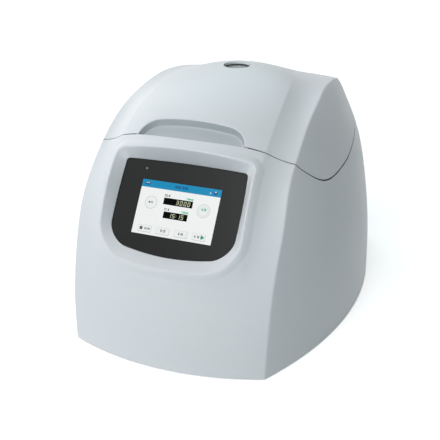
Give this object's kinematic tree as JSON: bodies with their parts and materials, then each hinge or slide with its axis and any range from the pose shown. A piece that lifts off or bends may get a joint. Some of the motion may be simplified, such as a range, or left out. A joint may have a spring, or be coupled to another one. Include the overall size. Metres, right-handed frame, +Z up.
{
  "type": "low-speed bench centrifuge",
  "caption": "Compact bench centrifuge: domed pale housing, rear-hinged lid with sight window, sloped touch panel, steel chamber and fixed-angle rotor.",
  "frame": {"origin": "on the table, under the middle of the whole part", "axes": "+X right seen from the front, +Y to the rear, +Z up"},
  "size_m": [0.392, 0.5001, 0.3306],
  "materials": {
    "housing": "moulded pale grey-white, satin gloss",
    "deck_plastic": "moulded light grey, fine matte",
    "plate_steel": "zinc-plated sheet",
    "rear_paint": "grey powder coat",
    "fastener": "zinc-plated",
    "foot_rubber": "black rubber",
    "seal_rubber": "soft dark silicone",
    "panel_black": "back-printed black panel, satin",
    "screen": "lit colour display",
    "board": "green laminate",
    "lens": "smoked lens",
    "bowl_steel": "spun and brushed stainless steel",
    "guard_steel": "dark primer",
    "motor_paint": "black enamel",
    "black_plastic": "black moulding",
    "rocker_plastic": "black rocker",
    "supply_case": "folded aluminium case",
    "hinge_metal": "powder coat in the housing colour",
    "pin_steel": "ground steel",
    "sight_clear": "clear window",
    "rotor_alloy": "machined alloy",
    "nut_black": "black anodised"
  },
  "bodies": {
    "root": {"lower_housing": "housing", "top_deck": "deck_plastic", "base_plate": "plate_steel", "base_screws": "fastener", "feet": "foot_rubber", "display_glass": "panel_black", "touch_screen": "screen", "display_board": "board", "sensor_lens": "lens", "chamber_bowl": "bowl_steel", "chamber_gasket": "seal_rubber", "guard_ring": "guard_steel", "shaft_boot": "seal_rubber", "motor_plate": "plate_steel", "plate_pillars": "plate_steel", "motor_body": "motor_paint", "motor_dampers": "foot_rubber", "motor_screws": "fastener", "latch_housing": "black_plastic", "latch_solenoid": "motor_paint", "main_board": "board", "board_standoffs": "fastener", "heat_sink": "rotor_alloy", "power_supply": "supply_case", "rear_panel": "rear_paint", "rear_panel_screws": "fastener", "power_inlet": "black_plastic", "switch_frame": "black_plastic", "hinge_brackets": "hinge_metal", "hinge_pins": "pin_steel", "hinge_screws": "fastener", "lid_buffers": "seal_rubber"},
    "lid": {"lid_shell": "housing", "lid_liner": "deck_plastic", "sight_tube": "black_plastic", "sight_glass": "sight_clear", "sight_pane": "sight_clear", "lid_striker": "pin_steel", "hinge_leaves": "hinge_metal", "leaf_screws": "fastener"},
    "rotor": {"motor_shaft": "pin_steel", "rotor_body": "rotor_alloy", "tube_blocks": "rotor_alloy", "tube_block_rear": "rotor_alloy", "rotor_band": "plate_steel", "tube_sleeves": "bowl_steel", "tube_sleeve_rear": "bowl_steel", "rotor_nut": "nut_black"},
    "bolt": {"lock_bolt": "pin_steel"},
    "rocker": {"power_rocker": "rocker_plastic"}
  },
  "joints": [
    {"name": "lid_hinge", "type": "hinge", "parent": "root", "child": "lid", "pos_m": [0, 0.2005, 0.2705], "axis": [-1, 0, 0], "range_deg": [0, 75]},
    {"name": "rotor_spin", "type": "hinge", "parent": "root", "child": "rotor", "pos_m": [0, 0.03, 0.15], "axis": [0, 0, 1], "continuous": true},
    {"name": "lock_slide", "type": "slide", "parent": "root", "child": "bolt", "axis": [-1, 0, 0], "range_m": [0, 0.008], "stiffness_N_per_m": 150},
    {"name": "rocker_tilt", "type": "hinge", "parent": "root", "child": "rocker", "pos_m": [0.074, 0.2445, 0.064], "axis": [-1, 0, 0], "range_deg": [0, 16]}
  ]
}
